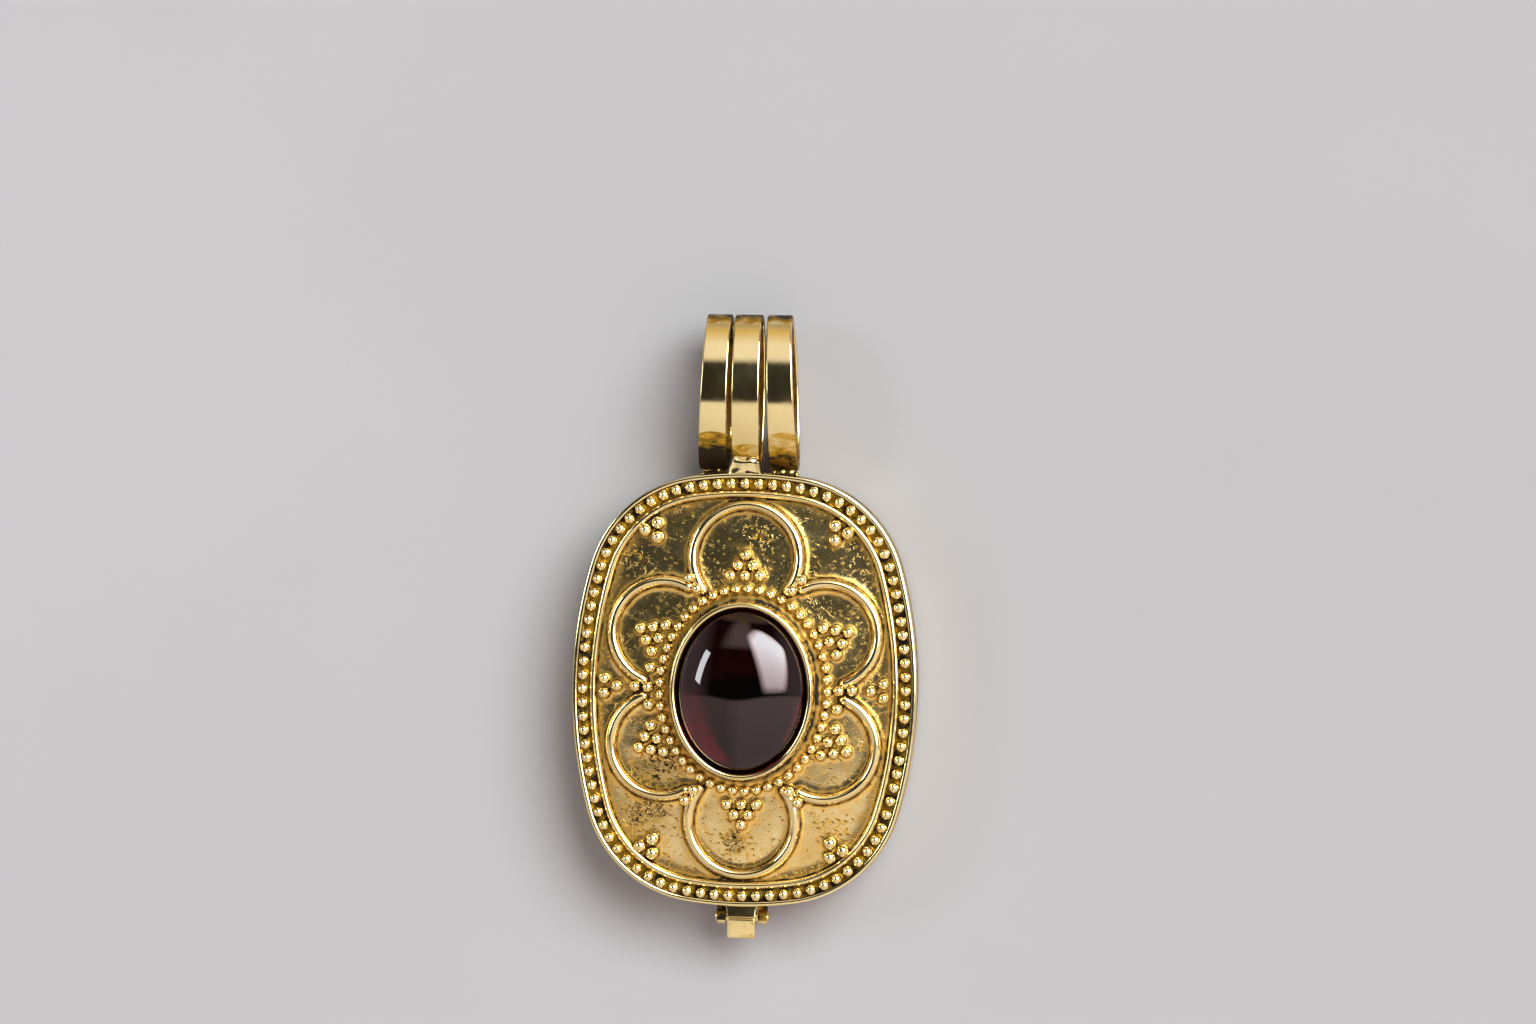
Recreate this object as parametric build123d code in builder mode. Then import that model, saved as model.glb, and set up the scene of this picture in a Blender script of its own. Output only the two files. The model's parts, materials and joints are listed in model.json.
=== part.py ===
from build123d import *
import os
from math import atan2, cos, degrees, hypot, pi, radians, sin, sqrt

# A locket pendant lying on its back: +Z out of the face, +Y towards the bail, X across.
# The origin is the centre of the flat back. All lengths are in millimetres, all angles in degrees.

# Outline of the case, a cushion oval of tangent arcs
case_width = 20.4
case_height = 25.6
side_arc_radius = 26.9
end_arc_radius = 22.0
corner_arc_radius = 7.3

# Back tray
case_depth = 2.4
case_wall = 0.55
case_floor = 0.6
back_edge_round = 0.8

# Front cover
cover_inset = 0.05
seam_gap = 0.05
cover_wall = 0.6
rim_width = 0.28
rim_top = 4.25
rim_round = 0.1
channel_floor = 3.8
bead_inset = 0.66
border_wire_inset = 1.26
border_wire_radius = 0.22
border_wire_height = 4.0
dome_radius = 130.0
dome_top = 4.25
plate_thickness = 0.5

# Stone and its collar
stone_width = 7.84
stone_height = 9.84
stone_girdle = 0.85
stone_dome = 2.1
setting_clearance = 0.05
seat_height = 4.35
collar_wall = 0.24
collar_top = 6.1
lip_depth = 0.3
lip_overlap = 0.08
collar_edge_round = 0.12

# Granules
border_bead_diameter = 0.62
border_bead_pitch = 0.815
ring_bead_diameter = 0.5
ring_bead_pitch = 0.7
ring_offset = 0.72
petal_bead_diameter = 0.6
triangle_bead_pitch = 0.86
triangle_row_step = 0.6
corner_trio_diameter = 0.72
side_trio_diameter = 0.62
trio_pitch = 0.84
granule_gap = 0.02

# Petal wires, horseshoes of round wire half sunk in the plate
end_petal_radius = 3.15
side_petal_radius = 3.05
petal_wire_radius = 0.34

# Bail loops of flat strip, oval seen from the side
loop_length = 9.2
loop_depth = 5.0
loop_centre_height = 2.65
loop_clearance = 0.12
strip_thickness = 0.42
strip_round = 0.1
middle_strip_width = 1.64
middle_strip_shift = -0.15
side_strip_foot_width = 1.68
side_strip_crown_width = 1.47
solder_reach = 0.9

# Hinge below the oval
pin_radius = 0.3
pin_overhang = 0.12
knuckle_radius = 0.62
knuckle_width = 1.7
knuckle_clearance = 0.1
tab_reach = 1.23
tab_thickness = 0.7
tab_rise = 0.2
tab_round = 0.12
ear_radius = 0.45
ear_width = 0.55
ear_gap = 0.1
running_clearance = 0.05
seated_clearance = 0.02

# Places on the plate: the way from the pendant's centre in degrees, and the distance outside the
# ring of granules, counted in the diameters of its granules
triangle_rows = 3
trio_count = 3
# columns: turn, outside, radius, angles where the wire starts and ends
petal_table = [
    (90.0, 3.6, end_petal_radius, -37.0, 217.0),
    (270.0, 3.66, end_petal_radius, 143.0, 397.0),
    (34.6, 1.22, side_petal_radius, -68.0, 118.0),
    (145.4, 1.22, side_petal_radius, 62.0, 248.0),
    (214.6, 1.22, side_petal_radius, 112.0, 298.0),
    (325.4, 1.22, side_petal_radius, -118.0, 68.0),
]
# columns: turn and outside of the triangle's base row, and the way that it points
triangle_table = [
    (90.0, 1.56, 90.0),
    (270.0, 1.56, 270.0),
    (30.4, 1.38, 27.0),
    (149.6, 1.38, 153.0),
    (210.4, 1.38, 207.0),
    (329.6, 1.38, 333.0),
]
# columns: turn, outside, diameter as a share of a petal granule's
junction_table = [
    (64.7, 1.6, 1.0),
    (63.1, 3.24, 0.95),
    (115.3, 1.6, 1.0),
    (116.9, 3.24, 0.95),
    (244.7, 1.6, 1.05),
    (243.1, 3.24, 1.05),
    (295.3, 1.6, 1.05),
    (296.9, 3.24, 1.05),
    (0.8, 1.36, 1.0),
    (0.9, 2.9, 1.0),
    (179.2, 1.36, 1.0),
    (179.1, 2.9, 1.0),
    (349.6, 1.32, 1.05),
    (189.9, 1.4, 1.05),
    (167.5, 1.32, 1.0),
]
# columns: place as shares of half the field's width and height, turn of the trio, corner trio or not
trio_table = [
    (0.612, 0.805, 0.0, True),
    (-0.612, 0.805, 180.0, True),
    (-0.612, -0.805, 180.0, True),
    (0.612, -0.805, 0.0, True),
    (0.892, 0.008, 180.0, False),
    (-0.892, 0.008, 0.0, False),
]
# columns: gap between the middle strip and this side strip at the foot and at the crown, side
side_loop_table = [
    (0.32, 0.17, -1),
    (0.57, 0.27, 1),
]

# Worked out from the sizes above
half_width = case_width / 2
half_height = case_height / 2
cover_bottom = case_depth + seam_gap
dome_centre = dome_top - dome_radius
field_half_width = half_width - border_wire_inset
field_half_height = half_height - border_wire_inset
seat_half_width = stone_width / 2 + setting_clearance
seat_half_height = stone_height / 2 + setting_clearance
collar_half_width = seat_half_width + collar_wall
collar_half_height = seat_half_height + collar_wall
ring_half_width = collar_half_width + ring_offset
ring_half_height = collar_half_height + ring_offset
loop_foot = half_height + loop_clearance
loop_centre = loop_foot + loop_length / 2
loop_crown = loop_foot + loop_length
hinge_y = -(half_height + knuckle_clearance + knuckle_radius)
hinge_z = case_depth + seam_gap / 2
pin_length = knuckle_width + 2 * (ear_gap + ear_width + pin_overhang)
tall = 4 * case_depth


def oval_arcs(inset):
    """Draws the case outline moved in by inset, in the BuildLine block that calls it."""
    side_radius = side_arc_radius - inset
    end_radius = end_arc_radius - inset
    corner_radius = corner_arc_radius - inset
    side_centre = half_width - inset - side_radius
    end_centre = half_height - inset - end_radius
    span = hypot(side_centre, end_centre)
    side_reach = side_radius - corner_radius
    end_reach = end_radius - corner_radius
    along = (side_reach**2 - end_reach**2 + span**2) / (2 * span)
    across = sqrt(side_reach**2 - along**2)
    corner_x = side_centre - (side_centre * along + end_centre * across) / span
    corner_y = (end_centre * along - side_centre * across) / span
    side_turn = degrees(atan2(corner_y, corner_x - side_centre))
    end_turn = degrees(atan2(corner_y - end_centre, corner_x))
    corner_sweep = end_turn - side_turn
    CenterArc((side_centre, 0), side_radius, -side_turn, 2 * side_turn)
    CenterArc((corner_x, corner_y), corner_radius, side_turn, corner_sweep)
    CenterArc((0, end_centre), end_radius, end_turn, 180 - 2 * end_turn)
    CenterArc((-corner_x, corner_y), corner_radius, 180 - end_turn, corner_sweep)
    CenterArc((-side_centre, 0), side_radius, 180 - side_turn, 2 * side_turn)
    CenterArc((-corner_x, -corner_y), corner_radius, 180 + side_turn, corner_sweep)
    CenterArc((0, -end_centre), end_radius, 180 + end_turn, 180 - 2 * end_turn)
    CenterArc((corner_x, -corner_y), corner_radius, 360 - end_turn, corner_sweep)


def dome_height(x, y):
    """Height of the domed plate at a place."""
    return dome_centre + sqrt(dome_radius**2 - x**2 - y**2)


def dome_plane(x, y):
    """Plane that touches the domed plate at a place, its X as near the pendant's X as it can be."""
    upright = Vector(x, y, dome_height(x, y) - dome_centre).normalized()
    return Plane(origin=(x, y, dome_height(x, y)), x_dir=(upright.Z, 0, -upright.X), z_dir=upright)


def loop_side():
    """Draws the side view of a bail loop, an oval ring, in the BuildSketch block that calls it."""
    with Locations((loop_centre, loop_centre_height)):
        Ellipse(loop_length / 2, loop_depth / 2)
        Ellipse(loop_length / 2 - strip_thickness, loop_depth / 2 - strip_thickness, mode=Mode.SUBTRACT)


def outside_ring(turn, outside):
    """Place at a turn round the pendant's centre, so many granule diameters outside the ring."""
    c, s = cos(radians(turn)), sin(radians(turn))
    ring = ring_half_width * ring_half_height / hypot(ring_half_height * c, ring_half_width * s)
    reach = ring + outside * ring_bead_diameter
    return reach * c, reach * s


def wire_distance(x, y, petal):
    """Distance in plan from a place to the middle line of a petal's wire."""
    turn, outside, radius, start, end = petal
    petal_x, petal_y = outside_ring(turn, outside)
    bearing = start + (degrees(atan2(y - petal_y, x - petal_x)) - start) % 360
    if bearing <= end:
        return abs(hypot(x - petal_x, y - petal_y) - radius)
    return min(
        hypot(x - petal_x - radius * cos(radians(tip)), y - petal_y - radius * sin(radians(tip)))
        for tip in (start, end)
    )


def seated(x, y, diameter):
    """Centre of a granule that lies on the domed plate, or on the petal wires that it touches."""
    lift = diameter / 2 + granule_gap
    reach = petal_wire_radius + lift
    for petal in petal_table:
        distance = wire_distance(x, y, petal)
        if distance < reach:
            wire_lift = petal[2] ** 2 / (2 * dome_radius)
            lift = max(lift, wire_lift + sqrt(reach**2 - distance**2))
    return dome_plane(x, y).origin + dome_plane(x, y).z_dir * lift


def finish(part, name):
    """Labels a finished piece and writes it."""
    part.label = name
    export_step(part, f"parts/{name}.step")


os.makedirs("parts", exist_ok=True)

# Middle loop
with BuildPart() as middle_loop:
    with BuildSketch(Plane.YZ):
        loop_side()
    extrude(amount=case_width / 2, both=True)
    with BuildSketch():
        with Locations((middle_strip_shift, loop_centre)):
            Rectangle(middle_strip_width, 2 * loop_length)
    extrude(amount=tall, both=True, mode=Mode.INTERSECT)
    fillet(middle_loop.edges(), strip_round)

# Side loops, which narrow and lean inwards towards the crown
side_loops = []
for foot_gap, crown_gap, side in side_loop_table:
    inner_edge = middle_strip_shift + side * middle_strip_width / 2
    foot_inner = inner_edge + side * foot_gap
    crown_inner = inner_edge + side * crown_gap
    with BuildPart() as side_loop:
        with BuildSketch(Plane.YZ):
            loop_side()
        extrude(amount=case_width / 2, both=True)
        with BuildSketch():
            with BuildLine():
                Polyline(
                    (foot_inner, loop_foot),
                    (foot_inner + side * side_strip_foot_width, loop_foot),
                    (crown_inner + side * side_strip_crown_width, loop_crown),
                    (crown_inner, loop_crown),
                    close=True,
                )
            make_face()
        extrude(amount=tall, both=True, mode=Mode.INTERSECT)
        fillet(side_loop.edges(), strip_round)
    side_loops.append((foot_inner + side * side_strip_foot_width / 2, side_loop.part))

# Back tray with the side loops and the hinge ears soldered on
with BuildPart() as back_case:
    with BuildSketch():
        with BuildLine():
            oval_arcs(0)
        make_face()
    extrude(amount=case_depth)
    fillet(back_case.faces().sort_by(Axis.Z)[0].edges(), back_edge_round)
    with BuildSketch(Plane.XY.offset(case_floor)):
        with BuildLine():
            oval_arcs(case_wall)
        make_face()
    extrude(amount=case_depth, mode=Mode.SUBTRACT)
    for foot_middle, loop in side_loops:
        add(loop)
        with BuildSketch(Plane.XY.offset(back_edge_round)):
            with Locations((foot_middle, loop_foot)):
                Rectangle(side_strip_foot_width - 2 * strip_round, solder_reach)
        extrude(amount=case_depth - back_edge_round)
    for side in (-1, 1):
        ear_middle = side * (knuckle_width / 2 + ear_gap + ear_width / 2)
        with BuildSketch(Plane.YZ.offset(ear_middle)):
            with Locations((hinge_y, hinge_z)):
                Circle(ear_radius)
            with Locations((hinge_y, hinge_z - ear_radius)):
                Rectangle(
                    -hinge_y - half_height + case_wall / 2,
                    ear_radius - seam_gap,
                    align=(Align.MIN, Align.MIN),
                )
        extrude(amount=ear_width / 2, both=True)
    with BuildSketch(Plane.YZ):
        with Locations((hinge_y, hinge_z)):
            Circle(pin_radius + seated_clearance)
    extrude(amount=pin_length, both=True, mode=Mode.SUBTRACT)
finish(back_case.part, "back_case")

# Hinge pin
with BuildPart() as hinge_pin:
    with BuildSketch(Plane.YZ):
        with Locations((hinge_y, hinge_z)):
            Circle(pin_radius)
    extrude(amount=pin_length / 2, both=True)
    fillet(hinge_pin.edges().filter_by(GeomType.CIRCLE), pin_radius / 2)
finish(hinge_pin.part, "hinge_pin")

# Tab of the cover, which runs on past the hinge
with BuildPart() as opening_tab:
    with BuildSketch(Plane.YZ):
        with Locations((hinge_y, hinge_z + knuckle_radius + tab_rise)):
            Rectangle(tab_reach, tab_thickness, align=(Align.MAX, Align.MAX))
    extrude(amount=knuckle_width / 2, both=True)
    fillet(opening_tab.faces().sort_by(Axis.Y)[0].edges(), tab_round)

# Hollow under the domed plate
with BuildPart() as cover_hollow:
    with BuildSketch():
        with BuildLine():
            oval_arcs(cover_inset + cover_wall)
        make_face()
    extrude(amount=tall)
    with Locations((0, 0, dome_centre)):
        Sphere(dome_radius - plate_thickness, rotation=(90, 0, 0), mode=Mode.INTERSECT)

# Front cover: the domed field, then the border round it, then what is soldered on
with BuildPart() as front_cover:
    with BuildSketch(Plane.XY.offset(cover_bottom)):
        with BuildLine():
            oval_arcs(border_wire_inset)
        make_face()
    extrude(amount=tall)
    with Locations((0, 0, dome_centre)):
        Sphere(dome_radius, rotation=(90, 0, 0), mode=Mode.INTERSECT)

    with BuildSketch(Plane.XY.offset(cover_bottom)):
        with BuildLine():
            oval_arcs(cover_inset)
        make_face()
        with BuildLine():
            oval_arcs(border_wire_inset)
        make_face(mode=Mode.SUBTRACT)
    extrude(amount=channel_floor - cover_bottom)

    with BuildSketch(Plane.XY.offset(cover_bottom)):
        with BuildLine():
            oval_arcs(cover_inset)
        make_face()
        with BuildLine():
            oval_arcs(cover_inset + rim_width)
        make_face(mode=Mode.SUBTRACT)
    extrude(amount=rim_top - cover_bottom)
    fillet(front_cover.faces().sort_by(Axis.Z).filter_by(Plane.XY)[-1].edges(), rim_round)

    add(cover_hollow.part, mode=Mode.SUBTRACT)

    with BuildLine(Plane.XY.offset(border_wire_height)) as border_path:
        oval_arcs(border_wire_inset)
    with BuildSketch(Plane(origin=border_path.wire() @ 0, z_dir=border_path.wire() % 0)):
        Circle(border_wire_radius)
    sweep(path=border_path.wire())

    for turn, outside, radius, start, end in petal_table:
        petal_x, petal_y = outside_ring(turn, outside)
        with BuildLine(dome_plane(petal_x, petal_y)) as petal_path:
            CenterArc((0, 0), radius, start, end - start)
        with BuildSketch(Plane(origin=petal_path.wire() @ 0, z_dir=petal_path.wire() % 0)):
            Circle(petal_wire_radius)
        sweep(path=petal_path.wire())
        with Locations(petal_path.wire() @ 0, petal_path.wire() @ 1):
            Sphere(petal_wire_radius)

    with BuildSketch(Plane.XY.offset(dome_top - plate_thickness)):
        Ellipse(collar_half_width, collar_half_height)
    extrude(amount=collar_top - dome_top + plate_thickness)
    fillet(front_cover.faces().sort_by(Axis.Z)[-1].edges(), collar_edge_round)
    with BuildSketch(Plane.XY.offset(seat_height)):
        Ellipse(seat_half_width, seat_half_height)
    extrude(amount=collar_top - lip_depth - seat_height, mode=Mode.SUBTRACT)
    with BuildSketch(Plane.XY.offset(seat_height)):
        Ellipse(stone_width / 2 - lip_overlap, stone_height / 2 - lip_overlap)
    extrude(amount=tall, mode=Mode.SUBTRACT)

    add(middle_loop.part)
    with BuildSketch(Plane.XY.offset(cover_bottom)):
        with Locations((middle_strip_shift, loop_foot)):
            Rectangle(middle_strip_width - 2 * strip_round, solder_reach)
    extrude(amount=rim_top - rim_round - cover_bottom)

    with BuildSketch(Plane.YZ):
        with Locations((hinge_y, hinge_z)):
            Circle(knuckle_radius)
        with Locations((hinge_y, cover_bottom)):
            Rectangle(
                -hinge_y - half_height + cover_wall,
                knuckle_radius - seam_gap / 2,
                align=(Align.MIN, Align.MIN),
            )
    extrude(amount=knuckle_width / 2, both=True)
    add(opening_tab.part)
    with BuildSketch(Plane.YZ):
        with Locations((hinge_y, hinge_z)):
            Circle(pin_radius + running_clearance)
    extrude(amount=knuckle_width, both=True, mode=Mode.SUBTRACT)
finish(front_cover.part, "front_cover")

# Cabochon: flat base, straight girdle, elliptical dome
with BuildPart() as garnet_cabochon:
    with BuildSketch(Plane.XZ):
        with Locations((0, seat_height + setting_clearance + stone_girdle)):
            Ellipse(stone_width / 2, stone_dome)
        with Locations((0, seat_height + setting_clearance)):
            Rectangle(stone_width, stone_girdle, align=(Align.CENTER, Align.MIN))
        with Locations((0, seat_height + setting_clearance)):
            Rectangle(2 * stone_width, tall, align=(Align.CENTER, Align.MAX), mode=Mode.SUBTRACT)
        with Locations((0, 0)):
            Rectangle(2 * stone_width, 2 * tall, align=(Align.MAX, Align.MIN), mode=Mode.SUBTRACT)
    revolve(axis=Axis.Z)
    scale(by=(1, stone_height / stone_width, 1))
finish(garnet_cabochon.part, "garnet_cabochon")

# Border granules, evenly spaced along the channel
with BuildLine() as bead_path:
    oval_arcs(bead_inset)
bead_count = round(bead_path.wire().length / border_bead_pitch)
bead_height = channel_floor + granule_gap + border_bead_diameter / 2
with BuildPart() as border_granules:
    with Locations(*[
        bead_path.wire() @ (i / bead_count) + Vector(0, 0, bead_height) for i in range(bead_count)
    ]):
        Sphere(border_bead_diameter / 2)
finish(border_granules.part, "border_granules")

# Ring of granules round the collar
with BuildLine() as ring_path:
    EllipticalCenterArc((0, 0), ring_half_width, ring_half_height, start_angle=0, arc_size=360)
ring_count = round(ring_path.wire().length / ring_bead_pitch)
with BuildPart() as ring_granules:
    for i in range(ring_count):
        spot = ring_path.wire() @ (i / ring_count)
        with Locations(seated(spot.X, spot.Y, ring_bead_diameter)):
            Sphere(ring_bead_diameter / 2)
finish(ring_granules.part, "ring_granules")

# Triangles of granules inside the petals, three, two and one
with BuildPart() as petal_granules:
    for turn, outside, pointing in triangle_table:
        base_x, base_y = outside_ring(turn, outside)
        ahead = Vector(cos(radians(pointing)), sin(radians(pointing)))
        aside = Vector(-ahead.Y, ahead.X)
        for row in range(triangle_rows):
            row_count = triangle_rows - row
            for place in range(row_count):
                spot = Vector(base_x, base_y) + ahead * (row * triangle_row_step)
                spot += aside * ((place - (row_count - 1) / 2) * triangle_bead_pitch)
                with Locations(seated(spot.X, spot.Y, petal_bead_diameter)):
                    Sphere(petal_bead_diameter / 2)
finish(petal_granules.part, "petal_granules")

# Granules where the petals meet, and trios in the corners and at the sides
with BuildPart() as field_granules:
    for turn, outside, share in junction_table:
        x, y = outside_ring(turn, outside)
        diameter = share * petal_bead_diameter
        with Locations(seated(x, y, diameter)):
            Sphere(diameter / 2)
    for x_share, y_share, turn, in_corner in trio_table:
        diameter = corner_trio_diameter if in_corner else side_trio_diameter
        trio_radius = trio_pitch / (2 * sin(pi / trio_count))
        for place in range(trio_count):
            way = radians(turn) + 2 * pi * place / trio_count
            x = x_share * field_half_width + trio_radius * cos(way)
            y = y_share * field_half_height + trio_radius * sin(way)
            with Locations(seated(x, y, diameter)):
                Sphere(diameter / 2)
finish(field_granules.part, "field_granules")
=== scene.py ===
import json
import random
from math import atan2, cos, degrees, hypot, pi, radians, sin, sqrt, tan

import bmesh
import bpy
import numpy as np
from mathutils import Matrix, Vector, noise

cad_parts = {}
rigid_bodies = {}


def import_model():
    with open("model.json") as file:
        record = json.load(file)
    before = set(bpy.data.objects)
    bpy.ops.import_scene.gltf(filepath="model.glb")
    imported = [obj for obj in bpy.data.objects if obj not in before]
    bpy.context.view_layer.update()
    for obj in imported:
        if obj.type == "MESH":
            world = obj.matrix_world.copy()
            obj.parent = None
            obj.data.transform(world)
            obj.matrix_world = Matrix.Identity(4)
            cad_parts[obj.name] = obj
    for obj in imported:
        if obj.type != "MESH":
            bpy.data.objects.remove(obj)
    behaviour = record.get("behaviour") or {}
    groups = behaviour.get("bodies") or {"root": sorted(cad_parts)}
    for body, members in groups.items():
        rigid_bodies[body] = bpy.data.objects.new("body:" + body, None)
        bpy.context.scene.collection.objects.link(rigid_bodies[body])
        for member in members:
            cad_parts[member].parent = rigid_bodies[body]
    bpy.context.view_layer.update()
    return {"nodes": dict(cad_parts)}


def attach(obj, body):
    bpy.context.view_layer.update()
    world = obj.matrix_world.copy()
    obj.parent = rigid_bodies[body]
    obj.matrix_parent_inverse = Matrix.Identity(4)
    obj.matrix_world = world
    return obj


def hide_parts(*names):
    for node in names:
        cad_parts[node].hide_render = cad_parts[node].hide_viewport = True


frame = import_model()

# The pendant lies on its back: +Z out of the face, +Y towards the bail. All lengths are in metres.
mm = 0.001

# Outline of the case, a cushion oval of tangent arcs
half_width = 10.2 * mm
half_height = 12.8 * mm
side_arc_radius = 26.9 * mm
end_arc_radius = 22.0 * mm
corner_arc_radius = 7.3 * mm

# Back tray; its section is (inset from the outline, height) in millimetres
case_depth = 2.4 * mm
tray_section = [
    (0.8, 0.0), (0.61, 0.02), (0.43, 0.08), (0.26, 0.2), (0.12, 0.37), (0.03, 0.58), (0.0, 0.8),
    (0.0, 2.37), (0.03, 2.4), (0.52, 2.4), (0.55, 2.36), (0.55, 0.76), (0.6, 0.64), (0.72, 0.6),
]

# Front cover; the section of its rim, channel and ledge is read like the tray's
cover_bottom = 2.45 * mm
border_section = [
    (0.08, 2.45), (0.05, 2.48), (0.05, 4.15), (0.08, 4.22), (0.15, 4.25), (0.24, 4.25), (0.3, 4.22),
    (0.33, 4.15), (0.33, 3.87), (0.36, 3.82), (0.42, 3.8), (1.2, 3.8), (1.36, 3.7), (1.5, 3.5),
    (1.5, 3.2), (1.42, 3.12), (0.75, 3.12), (0.65, 3.02), (0.65, 2.48), (0.62, 2.45),
]
rim_inset = 0.32 * mm
channel_floor = 3.8 * mm
channel_floor_span = (3.7 * mm, 3.9 * mm)
# How dark the channel floor is painted: patina and painted shade between the beads
channel_tarnish_and_shade = 0.92
border_wire_inset = 1.26 * mm
border_wire_radius = 0.22 * mm
border_wire_height = 4.0 * mm

# Domed plate
dome_radius = 130.0 * mm
dome_top = 4.25 * mm
plate_inset = 1.15 * mm
plate_edge = 0.06 * mm
plate_thickness = 0.48 * mm
plate_step = 0.11 * mm
plate_underside = 0.12

# Stone and its collar; the collar's rings are (distance outside the stone, height) in millimetres
stone_half_width = 3.92 * mm
stone_half_height = 4.92 * mm
stone_bottom = 4.4 * mm
stone_girdle = 0.85 * mm
stone_dome = 2.1 * mm
collar_outside = 0.29 * mm
collar_rings = [
    (0.29, 3.95), (0.29, 5.93), (0.27, 6.02), (0.22, 6.08), (0.15, 6.1), (0.05, 6.09), (-0.03, 6.04),
    (-0.07, 5.96), (-0.08, 5.86), (-0.05, 5.8), (0.05, 5.78), (0.05, 4.35), (-0.3, 4.35),
]
collar_lip = 5.95 * mm
collar_foot_reach = 0.5 * mm
# Inside of the collar: how far out it goes, as a share of the stone, and how dark it is
collar_inside, collar_inside_darkening = 1.015, 0.35
ring_half_width = 4.93 * mm
ring_half_height = 5.93 * mm

# Petal wires, as (turn round the centre, distance outside the ring of granules, radius, start, end)
petal_wire_radius = 0.34 * mm
petal_table = [
    (90.0, 1.80 * mm, 3.15 * mm, -37.0, 217.0),
    (270.0, 1.83 * mm, 3.15 * mm, 143.0, 397.0),
    (34.6, 0.61 * mm, 3.05 * mm, -68.0, 118.0),
    (145.4, 0.61 * mm, 3.05 * mm, 62.0, 248.0),
    (214.6, 0.61 * mm, 3.05 * mm, 112.0, 298.0),
    (325.4, 0.61 * mm, 3.05 * mm, -118.0, 68.0),
]
degrees_a_step = 3

# Bail loops, oval seen from the side
loop_length = 9.2 * mm
loop_depth = 5.0 * mm
loop_foot = 12.92 * mm
loop_centre = 17.52 * mm
loop_centre_height = 2.65 * mm
strip_thickness = 0.42 * mm
strip_round = 0.1 * mm
# How much darker the loops get towards their crowns, as (place, how dark)
crown_darkening = [(21.3 * mm, 0.0), (21.55 * mm, 0.64), (21.75 * mm, 0.76), (21.95 * mm, 1.0)]
middle_strip_width = 1.64 * mm
middle_strip_shift = -0.15 * mm
side_strip_foot_width = 1.68 * mm
side_strip_crown_width = 1.47 * mm
# Side loops, as (name, gap to the middle strip at the foot and at the crown, side)
side_loop_table = [("left", 0.32 * mm, 0.17 * mm, -1), ("right", 0.57 * mm, 0.27 * mm, 1)]

# Solder at the loops' feet: width, far end, bottom, top, widening where it has run, fall at the far end
solder_near = 12.5 * mm
middle_lump = (1.58 * mm, 13.85 * mm, 2.5 * mm, 4.34 * mm, 1.38, 0.24 * mm)
side_lump = (1.48 * mm, 13.37 * mm, 0.85 * mm, 2.35 * mm, 1.1, 0.0)
# How far its top falls, as (share of the way from the near end, fall)
solder_fall = [(0, 0.14 * mm), (0.28, 0.12 * mm), (0.68, 0.02 * mm)]
solder_tarnish = 0.12

# Hinge below the oval
pin_radius = 0.3 * mm
pin_length = 3.24 * mm
knuckle_radius = 0.62 * mm
knuckle_width = 1.7 * mm
knuckle_foot_end = -12.2 * mm
tab_reach = 1.23 * mm
tab_thickness = 0.7 * mm
tab_rise = 0.2 * mm
tab_fall = 0.07 * mm
tab_round = 0.12 * mm
ear_radius = 0.45 * mm
ear_width = 0.55 * mm
ear_gap = 0.1 * mm
ear_foot_end = -12.53 * mm
ear_foot_top = case_depth - 0.03 * mm
# Painted shade on the left and right ear, then on their feet
ear_shade = (1.0, 0.86, 1.0, 0.92)
ear_tip = 0.2 * mm
hinge_y = -13.52 * mm
hinge_z = 2.425 * mm
foot_fall = 0.07 * mm
foot_widening = 0.22
barrel_round, block_round, solder_round = 0.06 * mm, 0.07 * mm, 0.08 * mm

# Size of the shown balls, as a share of the loose ones, which keep clear of each other
ball_fullness = {
    "border_granules": 1.03, "ring_granules": 1.2, "petal_granules": 1.1, "field_granules": 1.06,
}
ball_unevenness = 0.03

# Unevenness that the hand leaves, as (depth, grain)
handwork = {
    "border wire": (0.022 * mm, 1.3 * mm),
    "petal wire": (0.03 * mm, 1.6 * mm),
    "collar": (0.025 * mm, 1.8 * mm),
    "loop": (0.012 * mm, 1.5 * mm),
    "solder": (0.2 * mm, 0.33 * mm),
    "barrel": (0.012 * mm, 0.7 * mm),
    "block": (0.02 * mm, 0.4 * mm),
}
# Solder that has run up to the foot of what stands on the plate, as (height, reach)
solder_runs = {
    "wire": (0.045 * mm, 0.2 * mm),
    "border": (0.05 * mm, 0.4 * mm),
    "collar": (0.06 * mm, 0.3 * mm),
    "ball": (0.03 * mm, 0.13 * mm),
}
highest_run = 0.06 * mm
# Patina and painted shade round the feet: how strong the broad amber shade is, then the narrow band's
# strength and reach, and where the broad shade fades out
foot_broad_shade = {"wire": 0.36, "border": 0.54, "ball": 0.36}
foot_tarnish_and_shade, foot_band_reach, broad_shade_reach = 0.85, 0.1 * mm, 0.5 * mm
# Patina and painted shade on the plate by the collar's foot, as (how strong, reach)
collar_tarnish_and_shade, collar_band_reach = 1.1, 0.45 * mm
# How dark the plate is under the stone
darkening_under_stone = 0.3
# Hammered grain of the plate, and its fine share
grain_depth, fine_grain, coarse_grain, fine_share = 0.014 * mm, 0.7 * mm, 2.2 * mm, 0.35

weld_reach = 0.002 * mm
smooth_angle = radians(38)
sharp_edge = radians(60)
hand = random.Random(7)


# Modelling by operators

def deselect():
    """Leaves edit mode and selects nothing."""
    if bpy.context.object and bpy.context.object.mode == "EDIT":
        bpy.ops.object.mode_set(mode="OBJECT")
    bpy.ops.object.select_all(action="DESELECT")


def pick(piece):
    """Makes a piece the only one selected."""
    deselect()
    piece.select_set(True)
    bpy.context.view_layer.objects.active = piece


def edit(piece):
    """Opens a piece in edit mode with all of it selected."""
    pick(piece)
    bpy.ops.object.mode_set(mode="EDIT")
    select_all()


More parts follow.
